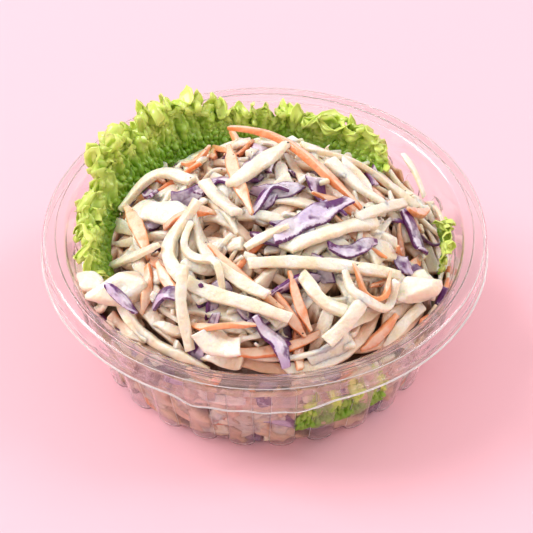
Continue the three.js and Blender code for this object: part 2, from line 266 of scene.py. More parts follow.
def bowl_piece():
    """The sheet's middle line, moved half its thickness each way along its normal and turned round the
    axis. The flutes push the wall outwards, and the lift tab draws the lip down."""
    top = BOWL_HEIGHT - SHEET / 2
    # Radius, height and rounding of the foot, the heel, the step over the flutes, the mouth, the channel
    # round it, the flange, and the lip with its small ledge.
    line = rounded_line([
        (0, SHEET / 2, 0),
        (HEEL_RADIUS - 0.4, SHEET / 2, 2.2),
        (wall_radius(FLUTE_TOP + 0.6), FLUTE_TOP + 0.6, 0.5),
        (wall_radius(FLUTE_TOP + 1.6) + 0.35, FLUTE_TOP + 1.6, 0.5),
        (MOUTH_RADIUS, top - 0.2, 1.8),
        (MOUTH_RADIUS + 2.6, top - 0.5, 0.7),
        (MOUTH_RADIUS + 3.6, top, 0.5),
        (RIM_RADIUS - SHEET / 2, top, 2.2),
        (RIM_RADIUS - 0.1, BOWL_HEIGHT - 4.4, 0.8),
        (LIP_RADIUS - 1.4, LIP_HEIGHT + 1.2, 0.9),
        (LIP_RADIUS - SHEET / 2, LIP_HEIGHT + SHEET / 2 + 0.1, 0),
    ])
    along = unit(np.gradient(line, axis=0))
    normal = np.stack([along[:, 1], -along[:, 0]], axis=-1)
    outer = line + normal * SHEET / 2
    inner = line - normal * SHEET / 2
    profile = np.vstack([outer[1:], inner[:0:-1]])

    steps_per_flute = 24
    angles = FLUTE_PHASE + (np.arange(FLUTES * steps_per_flute) / steps_per_flute) * FLUTE_PITCH
    radius, height = profile[:, :1], profile[:, 1:]
    on_wall = (radius < MOUTH_RADIUS) & (height < FLUTE_TOP + 1)
    near_heel = smooth(HEEL_RADIUS - 5, HEEL_RADIUS - 1.5, radius)
    rise = np.where(on_wall, flute_rise(angles, height) * near_heel, 0)
    on_lip = (radius > MOUTH_RADIUS + 4) * (1 - smooth(LIP_HEIGHT, LIP_HEIGHT + 3, height))
    points = polar(radius + rise, angles, height - lip_drop(angles) * on_lip)
    rows, columns = points.shape[:2]
    points = np.vstack([points.reshape(-1, 3), [[0, 0, 0], [0, 0, SHEET]]])
    return make_piece("bowl_sheet", "bowl", clear_sheet(), points,
                      closed_grid_faces(rows, columns))


def closed_line(gathering, angle, height, radius, wide, deep, sides, lean=(0, 1)):
    """Adds a closed line round the bowl or on its wall, with an oval section: `wide` is half its reach
    outwards and `deep` half its depth, which lies along `lean`, a direction round the wall and upwards."""
    turn = np.arange(sides)[:, None] / sides * TAU
    sideways = deep * np.sin(turn)
    points = polar(radius + wide * np.cos(turn), angle + np.degrees(sideways * lean[0] / radius),
                   height + sideways * lean[1])
    columns = len(angle)
    seam = np.stack([np.arange(columns), np.roll(np.arange(columns), -1)])
    last = (sides - 1) * columns
    join = np.stack([last + seam[0], last + seam[1], seam[1], seam[0]], axis=-1)
    gathering.take(points.reshape(-1, 3), [grid_faces(sides, columns), join])


def flute_line(centre):
    """A closed line round one flute's shoulder: up one side, over its round top and down the other."""
    reach, steps = 0.93 * FLUTE_WIDTH / 2, 14
    low, high = 2.2, FLUTE_TOP - FLUTE_WIDTH / 2
    over = np.linspace(0, math.pi, steps)[1:-1]
    rising, crossing = np.linspace(low, high, steps), np.linspace(-reach, reach, steps)[1:-1]
    across = np.concatenate([np.full(steps, reach), reach * np.cos(over), np.full(steps, -reach), crossing])
    height = np.concatenate([rising, high + reach * np.sin(over), rising[::-1], np.full(steps - 2, low)])
    angle = centre + np.degrees(across / wall_radius(height))
    return angle, height, wall_radius(height) + flute_rise(angle, height) + SHEET / 2


def painted_highlight_lines():
    """White lines that paint highlights on the sheet: along the lip, which follows the lip down at the tab,
    where the frosted cut edge is partly real; over the bend at the rim; and round the flutes' shoulders."""
    lines = Gathering("bowl_painted_highlight_lines")
    angles = np.arange(720) / 2
    closed_line(lines, angles, LIP_HEIGHT + 0.45 - lip_drop(angles), LIP_RADIUS - 0.55, 0.45, 0.2, 8)
    closed_line(lines, angles, BOWL_HEIGHT - 0.75, RIM_RADIUS - 0.85, 0.2, 0.12, 8)
    for n in range(FLUTES):
        angle, height, radius = flute_line(FLUTE_PHASE + n * 360 / FLUTES)
        along = unit(np.gradient(np.stack([np.radians(angle) * radius, height], axis=-1), axis=0))
        closed_line(lines, angle, height, radius, 0.08, 0.13, 6, lean=(-along[:, 1], along[:, 0]))
    return lines.piece("clear_plastic", "bowl", frosted_and_painted_highlight())


# ---- colours and materials ----


def colour(code):
    """sRGB hex to linear, with an opaque alpha."""
    parts = np.array([int(code[k:k + 2], 16) for k in (1, 3, 5)]) / 255
    linear = np.where(parts <= 0.04045, parts / 12.92, ((parts + 0.055) / 1.055) ** 2.4)
    return (*linear, 1)


def new_material(name):
    """A material and its empty node tree."""
    material = bpy.data.materials.new(name)
    material.use_nodes = True
    material.node_tree.nodes.clear()
    return material, material.node_tree


def add(tree, kind, inputs=None, **settings):
    """Adds a shader node with its settings. `inputs` maps a socket to a value, to an output to link, or
    to a node whose first output is linked."""
    made = tree.nodes.new("ShaderNode" + kind)
    for key, value in settings.items():
        setattr(made, key, value)
    for key, value in (inputs or {}).items():
        if isinstance(value, bpy.types.Node):
            value = value.outputs[0]
        if isinstance(value, bpy.types.NodeSocket):
            tree.links.new(value, made.inputs[key])
        else:
            made.inputs[key].default_value = value
    return made


def clear_sheet():
    """Clear PET, thermoformed from thin sheet: colourless, very glossy, with bright edges and faint
    drawn-down ripples. Light for the lamps passes straight through, as it does through thin sheet."""
    material, tree = new_material("clear_pet_sheet")
    place = add(tree, "TexCoord").outputs["Object"]
    ripple = add(tree, "TexNoise", {"Vector": place, "Scale": 90, "Detail": 1})
    bump = add(tree, "Bump", {"Height": ripple, "Strength": 0.05, "Distance": 0.0006})
    glass = add(tree, "BsdfPrincipled", {
        "Base Color": colour("#FEFEFE"),
        "Roughness": 0.02,
        "IOR": 1.45,
        "Specular IOR Level": 0.45,
        "Transmission Weight": 1,
        "Normal": bump,
    })
    through = add(tree, "BsdfTransparent", {"Color": colour("#FCFDFD")})
    path = add(tree, "LightPath").outputs
    lamp = add(tree, "Math", {0: path["Is Shadow Ray"], 1: path["Is Diffuse Ray"]}, operation="MAXIMUM")
    # Some light goes through unbent, as the sheet is thinner than it is drawn.
    share = add(tree, "Math", {0: lamp, 1: 0.12}, operation="MAXIMUM")
    blend = add(tree, "MixShader", {0: share, 1: glass, 2: through})
    add(tree, "OutputMaterial", {"Surface": blend})
    return material


def frosted_and_painted_highlight():
    """The same clear plastic, whitened and silky: partly a frosted cut edge at the lip, mostly a painted
    highlight on bends and edges.
    """
    material, tree = new_material("frosted_cut_edge_and_painted_highlight")
    surface = add(tree, "BsdfPrincipled", {
        "Base Color": colour("#FFFFFF"),
        "Roughness": 0.35,
        "IOR": 1.45,
        "Transmission Weight": 0.75,
    })
    add(tree, "OutputMaterial", {"Surface": surface})
    return material


def dressed(name, kind):
    """A material for shreds: the vegetable's own colour, then a film of dressing in patches, then painted
    shade where the shred lies deep in the heap.
    """
    material, tree = new_material(name)
    place = add(tree, "TexCoord").outputs["Object"]
    mark = add(tree, "Attribute", attribute_name="shred").outputs["Vector"]
    across, _, tint = add(tree, "SeparateXYZ", {0: mark}).outputs
    # Fibres run along the shred, a third to half a millimetre apart.
    fibre_place = add(tree, "Mapping", {"Vector": mark, "Scale": (4.5, 0.9, 40)})
    fibre = add(tree, "TexNoise", {"Vector": fibre_place, "Scale": 1.3, "Detail": 2})
    own = kind["own"](tree, kind, mark, across, tint, fibre)
    # The film lies in patches 5 to 8 mm across, runs off the sides and gathers on what faces up; leaning it
    # to what faces up also paints the tops lighter and the sides darker, as painted light.
    patch = add(tree, "TexNoise", {"Vector": place, "Scale": 170, "Detail": 3})
    upward = add(tree, "SeparateXYZ", {0: add(tree, "NewGeometry").outputs["Normal"]}).outputs[2]
    lean = add(tree, "Math", {0: upward, 1: 0.22, 2: -0.12}, operation="MULTIPLY_ADD")
    gather = add(tree, "Math", {0: patch, 1: lean}, operation="ADD")
    low, high = kind["film"]
    laid = add(tree, "MapRange", {0: gather, 1: low, 2: high, 3: kind["least"], 4: kind["most"]},
               interpolation_type="SMOOTHSTEP")
    off_middle = add(tree, "Math", {0: across}, operation="ABSOLUTE")
    kept = add(tree, "MapRange", {0: off_middle, 1: 0.7, 2: 0.95, 3: 1.0, 4: kind["edge_film"]},
               interpolation_type="SMOOTHSTEP")
    film = add(tree, "Math", {0: laid, 1: kept}, operation="MULTIPLY")
    coated = add(tree, "Mix", {0: film, 6: own, 7: colour(kind["cream"])}, data_type="RGBA")
    # Painted shade: the deeper a shred lies in the heap, the more its colour turns to the kind's darker,
    # warmer deep colour.
    buried = add(tree, "Attribute", attribute_name="depth").outputs["Fac"]
    painted_shade_share = add(tree, "Math", {0: buried, 1: 0.8}, operation="MULTIPLY")
    base = add(tree, "Mix", {0: painted_shade_share, 6: coated.outputs[2], 7: colour(kind["deep"])}, data_type="RGBA")
    rough = add(tree, "MapRange", {0: film, 3: 0.4, 4: 0.24})
    grain = add(tree, "TexNoise", {"Vector": place, "Scale": 800, "Detail": 2})
    relief = add(tree, "Math", {0: fibre, 1: grain}, operation="ADD")
    fine = add(tree, "Bump", {"Height": relief, "Strength": 0.6, "Distance": 0.0003})
    # The film gathers in soft lumps about 3 mm across.
    lumps = add(tree, "TexNoise", {"Vector": place, "Scale": 330, "Detail": 2})
    bump = add(tree, "Bump", {"Height": lumps, "Strength": 0.85, "Distance": 0.0012, "Normal": fine})
    surface = add(tree, "BsdfPrincipled", {
        "Base Color": base.outputs[2],
        "Roughness": rough,
        "Subsurface Weight": kind["glow"],
        "Subsurface Radius": (1.0, 0.62, 0.36),
        "Subsurface Scale": 0.003,
        "Coat Weight": 0.5,
        "Coat Roughness": 0.1,
        "Normal": bump,
    })
    add(tree, "OutputMaterial", {"Surface": surface})
    return material


def fibrous_colour(tree, kind, mark, across, tint, fibre):
    """A tone between two, by shred, which deepens along some fibres."""
    first, second = kind["tones"]
    low, high, most = kind["deepens"]
    tone = add(tree, "Mix", {0: tint, 6: colour(first), 7: colour(second)}, data_type="RGBA")
    line = add(tree, "MapRange", {0: fibre, 1: low, 2: high, 3: 0.0, 4: most})
    lined = add(tree, "Mix", {0: line, 6: tone.outputs[2], 7: colour(kind["line"])}, data_type="RGBA")
    return lined.outputs[2]


def red_cabbage_colour(tree, kind, mark, across, tint, fibre):
    """The cut face is pale lilac, and the leaf's skin shows as a thin dark purple line along both edges
    and as blotches where the dressing has been rubbed off. Some shreds lie skin side up."""
    size = add(tree, "Math", {0: across}, operation="ABSOLUTE")
    wander = add(tree, "Math", {0: fibre, 1: 0.4, 2: -0.2}, operation="MULTIPLY_ADD")
    edge = add(tree, "Math", {0: size, 1: wander}, operation="ADD")
    line = add(tree, "MapRange", {0: edge, 1: 0.84, 2: 0.94}, interpolation_type="SMOOTHSTEP")
    # Blotches are about 8 mm long and lie towards one edge.
    drawn_out = add(tree, "Mapping", {"Vector": mark, "Scale": (0.7, 0.13, 30)})
    rubbed = add(tree, "TexNoise", {"Vector": drawn_out, "Scale": 1.0, "Detail": 2})
    one_edge = add(tree, "Math", {0: across, 1: -0.2, 2: rubbed}, operation="MULTIPLY_ADD")
    skin_side = add(tree, "Math", {0: tint, 1: 0.2, 2: one_edge}, operation="MULTIPLY_ADD")
    blotch = add(tree, "MapRange", {0: skin_side, 1: 0.5, 2: 0.61}, interpolation_type="SMOOTHSTEP")
    share = add(tree, "Math", {0: line, 1: blotch}, operation="MAXIMUM")
    face = add(tree, "Mix", {0: rubbed, 6: colour("#B398CC"), 7: colour("#F1E4F1")}, data_type="RGBA")
    return add(tree, "Mix", {0: share, 6: face.outputs[2], 7: colour("#5A1064")}, data_type="RGBA").outputs[2]


# In each kind, deep is the painted shade colour that a shred takes on the deeper it lies in the heap.
# White cabbage is ivory at the heart of the head and a faint yellow-green nearer its outer leaves.
WHITE = {"own": fibrous_colour, "tones": ("#FCF1E1", "#F4E3C2"), "line": "#E2C596",
         "deepens": (0.35, 0.7, 0.3), "film": (0.35, 0.7), "least": 0.1, "most": 1.0, "edge_film": 0.8,
         "cream": "#FDF4E8", "deep": "#DA9A74", "glow": 0.6}
CARROT = {"own": fibrous_colour, "tones": ("#F2843F", "#F7A468"), "line": "#E56A22",
          "deepens": (0.4, 0.75, 0.4), "film": (0.34, 0.6), "least": 0.15, "most": 0.85, "edge_film": 0.25,
          "cream": "#FBDCC4", "deep": "#B8522A", "glow": 0.4}
RED = {"own": red_cabbage_colour, "film": (0.45, 0.7), "least": 0.0, "most": 0.75, "edge_film": 0.1,
       "cream": "#EFE8F1", "deep": "#3F1C3A", "glow": 0.3}


def dressing_material():
    """Mayonnaise dressing: an opaque cream with a soft wet gloss where it webs between the shreds, turning
    tan and then dark brown as painted shade where it lies deep."""
    material, tree = new_material("creamy_dressing")
    place = add(tree, "TexCoord").outputs["Object"]
    blotch = add(tree, "TexNoise", {"Vector": place, "Scale": 150, "Detail": 3})
    buried = add(tree, "Attribute", attribute_name="depth").outputs["Fac"]
    sway = add(tree, "Math", {0: blotch, 1: 0.5, 2: -0.25}, operation="MULTIPLY_ADD")
    depth = add(tree, "Math", {0: buried, 1: sway}, operation="ADD")
    # Painted shade: tan where the dressing lies a little under the shreds, dark brown where it lies deep.
    high = add(tree, "MapRange", {0: depth, 1: 0.0, 2: 0.5})
    low = add(tree, "MapRange", {0: depth, 1: 0.4, 2: 1.0})
    web = add(tree, "Mix", {0: high, 6: colour("#F6EAD8"), 7: colour("#DDB795")}, data_type="RGBA")
    base = add(tree, "Mix", {0: low, 6: web.outputs[2], 7: colour("#5A3A2C")}, data_type="RGBA")
    lumps = add(tree, "TexNoise", {"Vector": place, "Scale": 420, "Detail": 3})
    bump = add(tree, "Bump", {"Height": lumps, "Strength": 0.5, "Distance": 0.0008})
    surface = add(tree, "BsdfPrincipled", {
        "Base Color": base.outputs[2],
        "Roughness": 0.3,
        "Subsurface Weight": 0.5,
        "Subsurface Radius": (1.0, 0.62, 0.36),
        "Subsurface Scale": 0.002,
        "Coat Weight": 0.2,
        "Coat Roughness": 0.15,
        "Normal": bump,
    })
    add(tree, "OutputMaterial", {"Surface": surface})
    return material


def pepper_material():
    """Cracked black pepper: a husk that is nearly black, dull."""
    material, tree = new_material("cracked_pepper")
    surface = add(tree, "BsdfPrincipled", {"Base Color": colour("#2A211C"), "Roughness": 0.6})
    add(tree, "OutputMaterial", {"Surface": surface})
    return material


def lettuce_material():
    """Frilly green lettuce: thin, faintly waxy and lit through. Bright yellow-green along the frills and
    deeper green in the blade, partly the leaf's own colour and partly painted shade toward the root, with a
    net of paler veins about 4 mm apart."""
    material, tree = new_material("green_lettuce_leaf")
    place = add(tree, "TexCoord").outputs["Object"]
    mark = add(tree, "Attribute", attribute_name="shred").outputs["Vector"]
    out_along_blade = add(tree, "SeparateXYZ", {0: mark}).outputs[1]
    blotch = add(tree, "TexNoise", {"Vector": place, "Scale": 110, "Detail": 4})
    sway = add(tree, "Math", {0: blotch, 1: 0.9, 2: -0.45}, operation="MULTIPLY_ADD")
    reach = add(tree, "Math", {0: out_along_blade, 1: sway}, operation="ADD")
    # From root to edge the blade lightens: partly the leaf's own colour, partly painted shade on the blade
    # low down in the bowl.
    frill = add(tree, "MapRange", {0: reach, 1: 0.1, 2: 0.95}, interpolation_type="SMOOTHSTEP")
    blade = add(tree, "Mix", {0: frill, 6: colour("#76AA20"), 7: colour("#D8EC74")}, data_type="RGBA")
    veins = add(tree, "TexVoronoi", {"Vector": place, "Scale": 260}, feature="DISTANCE_TO_EDGE")
    vein = add(tree, "MapRange", {0: veins, 1: 0.0, 2: 0.07, 3: 0.14, 4: 0.0},
               interpolation_type="SMOOTHSTEP")
    base = add(tree, "Mix", {0: vein, 6: blade.outputs[2], 7: colour("#BAD766")}, data_type="RGBA")
    bump = add(tree, "Bump", {"Height": veins, "Strength": 0.4, "Distance": 0.0006})
    surface = add(tree, "BsdfPrincipled", {
        "Base Color": base.outputs[2],
        "Roughness": 0.3,
        "Subsurface Weight": 0.2,
        "Subsurface Radius": (0.6, 1.0, 0.1),
        "Subsurface Scale": 0.0015,
        "Coat Weight": 0.3,
        "Coat Roughness": 0.12,
        "Normal": bump,
    })
    add(tree, "OutputMaterial", {"Surface": surface})
    return material


# ---- the heap's form ----


def lettuce_share(angle):
    return stretch(angle, *LETTUCE_ARC, ARC_FADE)


def space_share(angle):
    return stretch(angle, *SPACE_ARC, ARC_FADE)


def edge_radius(angle):
    """Where the dome ends: near the wall, but set back for the lettuce and for the free space."""
    setback = np.maximum(LETTUCE_SETBACK * lettuce_share(angle), SPACE_SETBACK * space_share(angle))
    return EDGE_RADIUS - setback


def edge_level(angle):
    return mix(EDGE_LEVEL, LEDGE_LEVEL, np.maximum(lettuce_share(angle), space_share(angle)))


def heap_height(x, y):
    """A dome over the rim inside its edge, peak - (peak - edge) * share^2.2, and a level ledge outside."""
    angle = np.degrees(np.arctan2(y, x))
    share = np.minimum(1, np.hypot(x, y) / edge_radius(angle))
    return BOWL_HEIGHT + mix(DOME_LEVEL, edge_level(angle), share**DOME_FALL)


# ---- laying shreds ----

# The map is square: the width of a cell, and how far it reaches from the bowl's axis.
CELL = 0.5
SPAN = 68
# How deep the bed of the first shreds lies under the dome: in the middle, at the wall, and where the
# dome's edge is set back.
BED_DEPTH, WALL_BED_DEPTH, SET_BACK_BED_DEPTH = 9.0, 7, 4
# Under the dome's surface, the depth at which a shred counts as wholly buried.
DEEP = 6.5
# A shred laid at random keeps this far under the dome's surface, apart from a share of its length.
DOME_MARGIN = 0.6
SHARE_OUT = 0.3
# The share of the tops under it that a shred clears, laid at random or one by one. The rest bite into it.
CLEARS, CLEARS_BY_HAND = 0.66, 0.85
# A shred's middle line keeps this share of its width from the wall.
WALL_ROOM = 0.55
# Plan lines have a point about every so many millimetres.
PLAN_STEP = 0.6
# Places across a shred, as shares of its width, at which it touches the pile.
TOUCHES = np.linspace(-0.45, 0.45, 5)

axis = np.arange(-SPAN, SPAN + CELL, CELL)
map_x, map_y = np.meshgrid(axis, axis, indexing="ij")
map_edge = edge_radius(np.degrees(np.arctan2(map_y, map_x)))
map_share = np.hypot(map_x, map_y) / map_edge
map_set_back = np.clip((EDGE_RADIUS - map_edge) / SPACE_SETBACK, 0, 1)
edge_depth = mix(WALL_BED_DEPTH, SET_BACK_BED_DEPTH, map_set_back)
bed = heap_height(map_x, map_y) - mix(BED_DEPTH, edge_depth, smooth(0.85, 1.04, map_share))
pile = bed + waves(1, (map_x, map_y), [(14, 0.7), (6, 0.3)])


def cells(x, y):
    """The map's row and column nearest to a point."""
    i = np.clip(np.rint((x + SPAN) / CELL).astype(int), 0, len(axis) - 1)
    j = np.clip(np.rint((y + SPAN) / CELL).astype(int), 0, len(axis) - 1)
    return i, j


def rest(x, y, width, thick, bends, clear):
    """Heights and sideways slopes at which a shred rests on the pile, and the map's cells under it. The
    heights are a polynomial of degree `bends` through the tops under its plan, raised until the share
    `clear` of them lies below it. A stiff shred has a low degree."""
    along = unit(np.gradient(np.stack([x, y], axis=-1), axis=0))
    offsets = TOUCHES * width
    footprint = cells(x[:, None] - along[:, 1:] * offsets, y[:, None] + along[:, :1] * offsets)
    under = pile[footprint]
    top = under.max(axis=1)
    s = np.linspace(-1, 1, len(x))
    line = np.polyval(np.polyfit(s, top, bends), s)
    height = line + np.quantile(top - line, clear) + thick * 0.25
    tilt = np.polyval(np.polyfit(s, (under[:, 4] - under[:, 0]) / width, 2), s)
    return height, np.clip(tilt, -0.7, 0.7), footprint


def sweep(path, side, up, width, thick, tint, sides, bow=0.0, slant=0.0):
    """A strip carried along a path. Its section is |x/w|^6 + |y/t|^6 = 1, which is a rectangle with
    soft corners, bowed by a parabola. The ends are cut aslant, with one small ring to soften the cut."""
    power = 2 / 6
    turn = (np.arange(sides) + 0.5) / sides * TAU
    section_x, section_y = (np.sign(part) * np.abs(part) ** power for part in (np.cos(turn), np.sin(turn)))
    along = unit(np.gradient(path, axis=0))
    lip = 0.35
    path = np.vstack([path[:1] - along[:1] * lip, path, path[-1:] + along[-1:] * lip])
    side, up, along = (np.vstack([v[:1], v, v[-1:]]) for v in (side, up, along))
    width, thick = (np.concatenate([[v[0] - lip], v, [v[-1] - lip]])[:, None] for v in (width, thick))
    length = np.concatenate([[0], np.cumsum(np.linalg.norm(np.diff(path, axis=0), axis=1))])
    near_end = np.exp(-np.minimum(length, length[-1] - length) / 2.5) * np.sign(length - length[-1] / 2)
    lift = section_y * thick / 2 + bow * width * (0.5 - section_x**2)
    aslant = slant * near_end[:, None] * section_x * width / 2
    rings = (path[:, None] + side[:, None] * (section_x * width / 2)[..., None]
             + up[:, None] * lift[..., None] + along[:, None] * aslant[..., None])
    marks = np.stack(np.broadcast_arrays(section_x, length[:, None] + 50 * tint, tint), axis=-1)
    ring = np.arange(sides)
    caps = [ring[None, ::-1], (len(path) - 1) * sides + ring[None]]
    return rings.reshape(-1, 3), [grid_faces(len(path), sides), *caps], marks.reshape(-1, 3)


def frames(path, tilt, roll):
    """Side and up vectors along a path: level across, then tilted to the heap's slope and rolled."""
    along = unit(np.gradient(path, axis=0))
    side = unit(np.cross(along, [0, 0, 1.0]))
    up = np.cross(side, along)
    angle = (roll - np.arctan(tilt))[:, None]
    return side * np.cos(angle) + up * np.sin(angle), up * np.cos(angle) - side * np.sin(angle)


def lay_shred(kind, x, y, width, thick, bends, tint, *, roll, ends, twist, bow, slant, lift=None, sides=8):
    """Rests one shred on the pile, raises the pile and adds the shred to its kind. x and y are its plan,
    evenly spaced. `ends` are the shares of its width left at its two ends, and `twist` is the roll from one
    end to the other. `lift` raises the ends of a listed shred. Without it, a shred that would stand out of
    the dome is left out, as is any shred without room inside the wall."""
    height, tilt, footprint = rest(x, y, width, thick, bends, CLEARS if lift is None else CLEARS_BY_HAND)
    if lift is not None:
        height = height + np.linspace(*lift, len(x))
    elif (height + thick / 2 > heap_height(x, y) - DOME_MARGIN).mean() > SHARE_OUT:
        return
    room = inner_wall(FLUTE_PHASE + FLUTE_PITCH / 2, height) - np.hypot(x, y)
    if room.min() < width * WALL_ROOM:
        return
    np.maximum.at(pile, footprint, height[:, None] + thick / 2 + tilt[:, None] * (TOUCHES * width))
    length = np.hypot(np.diff(x), np.diff(y)).sum()
    s = np.linspace(0, 1, int(np.clip(length / 1.5, 8, 28)))
    dense = np.linspace(0, 1, len(x))
    path = np.stack([np.interp(s, dense, value) for value in (x, y, height)], axis=-1)
    side, up = frames(path, np.interp(s, dense, tilt), roll + twist * (s - 0.5))
    taper = mix(ends[0], 1, smooth(0, 0.35, s)) * mix(ends[1], 1, smooth(0, 0.35, 1 - s))
    ragged = 0.06 + 0.1 * smooth(5, 8, width)
    uneven = 1 + ragged * np.sin(s * length * 0.45 + tint * 40) + 0.04 * np.sin(s * length + tint * 90)
    deep = thick * np.sqrt(taper) * (1 + 0.07 * np.sin(s * length * 0.6 + tint * 60))
    kind.take(*sweep(path, side, up, width * taper * uneven, deep, tint, sides, bow, slant))


def plan(x, y, heading, length, bend, sway):
    """An even plan line: its heading turns steadily by `bend` radians over its length, plus one swing."""
    steps = max(12, int(length / PLAN_STEP))
    s = np.linspace(-0.5, 0.5, steps)
    turn = heading + bend * s + sway * np.sin(s * 5)
    dx, dy = np.cos(turn) * length / steps, np.sin(turn) * length / steps
    return x + np.cumsum(dx) - dx.sum() / 2, y + np.cumsum(dy) - dy.sum() / 2


def through_points(points):
    """A Catmull-Rom curve through given points, resampled to even steps."""
    p = np.array(points, float)
    p = np.vstack([2 * p[0] - p[1], p, 2 * p[-1] - p[-2]])
    t = np.linspace(0, 1, 24, endpoint=False)[:, None]
    spans = [0.5 * (2 * b + (c - a) * t + (2 * a - 5 * b + 4 * c - d) * t**2 + (3 * b - a - 3 * c + d) * t**3)
             for a, b, c, d in zip(p, p[1:], p[2:], p[3:])]
    curve = np.vstack([*spans, p[-2:-1]])
    length = np.concatenate([[0], np.cumsum(np.linalg.norm(np.diff(curve, axis=0), axis=1))])
    even = np.arange(0, length[-1], PLAN_STEP)
    return np.interp(even, length, curve[:, 0]), np.interp(even, length, curve[:, 1])


def scatter(kind, tries, length, width, thick, bends, bend, ends, bow):
    """Shreds at random places inside the wall, more of them short than long. Of four places the deepest
    is taken, and a shred is kept if it finds room under the dome's surface. Near the wall a shred
    mostly runs along it, bent to its curve. `ends` are the shares left of a tapered and of a cut end."""
    for _ in range(tries):
        angles = rng.uniform(-180, 180, 4)
        radii = np.sqrt(rng.uniform(0, 1, 4)) * (EDGE_RADIUS + 1)
        xs, ys = radii * np.cos(np.radians(angles)), radii * np.sin(np.radians(angles))
        room = heap_height(xs, ys) - pile[cells(xs, ys)]
        deepest = np.argmax(room)
        x, y, radius, angle = xs[deepest], ys[deepest], radii[deepest], angles[deepest]
        size = mix(*length, rng.uniform() ** 1.5)
        # A few shreds are curled tight.
        heading, curl = rng.uniform(0, TAU), rng.normal(0, bend) * (3.5 if rng.uniform() < 0.08 else 1)
        if radius + size / 2 > EDGE_RADIUS:
            heading = math.radians(angle) + math.pi / 2 + rng.normal(0, 0.25)
            curl = size / radius + rng.normal(0, 0.2)
        if room[deepest] < 1:
            continue
        px, py = plan(x, y, heading, size, curl, rng.normal(0, 0.12))
        cut = rng.uniform(0, 1, 2) < 0.5
        lay_shred(kind, px, py, mix(*width, rng.uniform()), mix(*thick, rng.uniform()), bends, rng.uniform(),
                  roll=rng.normal(0, 0.35), ends=np.where(cut, ends[1], ends[0]), twist=rng.normal(0, 0.5),
                  bow=rng.normal(0, bow), slant=rng.uniform(-0.9, 0.9))


def lay_by_hand(kind, width, thick, points, bends=2, lift=(0, 0)):
    """One shred laid over the rest through the points of its plan. Carrot is tapered at both ends, red
    cabbage often is, and white cabbage is cut nearly square."""
    x, y = through_points(points)
    ends = (0.4, 0.35) if kind is carrot else rng.uniform(0.35 if kind is red else 0.75, 1.0, 2)
    bow = 0.12 if width > 5 else 0.04
    lay_shred(kind, x, y, width, thick, bends, rng.uniform(), ends=ends, slant=rng.uniform(-0.6, 0.6),
              roll=rng.normal(0, 0.2), twist=rng.normal(0, 0.2), bow=bow, lift=lift, sides=14)


def lay_chunk(at, size, turn, seed, level):
    """A cut piece of the head's core: the rounded polyhedron whose radius along a direction d is
    (sum of max(0, n.d / e)^11)^(-1/11) over faces with normal n and distance e, stretched to its size."""
    draw = np.random.default_rng(seed)
    normals = unit(draw.normal(size=(11, 3)))
    away = draw.uniform(0.8, 1.1, 11)
    rows, columns, tint = 24, 40, 0.6
    down = np.linspace(0, math.pi, rows + 2)[1:-1]
    down, turned = np.meshgrid(down, np.arange(columns) / columns * TAU, indexing="ij")
    d = np.stack([np.sin(down) * np.cos(turned), np.sin(down) * np.sin(turned), np.cos(down)], axis=-1)
    d = np.vstack([d.reshape(-1, 3), [[0, 0, 1], [0, 0, -1]]])
    radius = (np.maximum(0, d @ normals.T / away) ** 11).sum(axis=1) ** (-1 / 11)
    radius *= 1 + 0.03 * waves(seed, tuple(d.T * 6), [(5, 1.0)])
    local = d * np.minimum(radius, 1.5)[:, None] * np.array(size) / 2
    cos, sin = math.cos(turn), math.sin(turn)
    x = local[:, 0] * cos - local[:, 1] * sin + at[0]
    y = local[:, 0] * sin + local[:, 1] * cos + at[1]
    z = local[:, 2] + BOWL_HEIGHT + level
    marks = np.stack([local[:, 0] / size[0], local[:, 1] + 50 * tint, np.full(len(d), tint)], axis=-1)
    faces = [block[:, ::-1] for block in closed_grid_faces(rows, columns)]
    white.take(np.stack([x, y, z], axis=-1), faces, marks)
    np.maximum.at(pile, cells(x, y), z)


white = Gathering("white_cabbage_shreds")
carrot = Gathering("carrot_shreds")
red = Gathering("red_cabbage_shreds")

# One layer of the heap: kind, tries, then the ranges of length, width and thickness, bends, the spread
# of the plan's bend, the shares of width left at tapered and at cut ends, and the spread of the bow.
LAYER = [
    (white, 200, (14, 50), (2.8, 5.6), (1.6, 2.8), 3, 0.5, (0.4, 0.95), 0.08),
    (carrot, 30, (10, 34), (2.8, 4.4), (1.8, 2.6), 2, 0.25, (0.3, 0.6), 0),
    (red, 30, (8, 24), (3.6, 7.0), (1.1, 1.7), 3, 0.6, (0.5, 0.9), 0.15),
    (white, 34, (9, 18), (6.0, 11.0), (1.2, 1.8), 2, 0.4, (0.5, 0.9), 0.2),
    (white, 30, (12, 40), (1.6, 2.5), (1.2, 1.8), 4, 0.8, (0.4, 0.8), 0),
]

# Pieces of core: place, size, turn in radians, seed and level.
CHUNKS = [
    ((-45.5, -31), (19, 15, 7), 0.3, 21, 2.5),
    ((-58, -24), (10, 6, 4.5), 2.3, 22, -2.0),
    ((50, -32), (13, 8, 7), 0.6, 23, 2.5),
    ((53, -29), (7, 10, 6), 0.3, 24, 0.5),
]
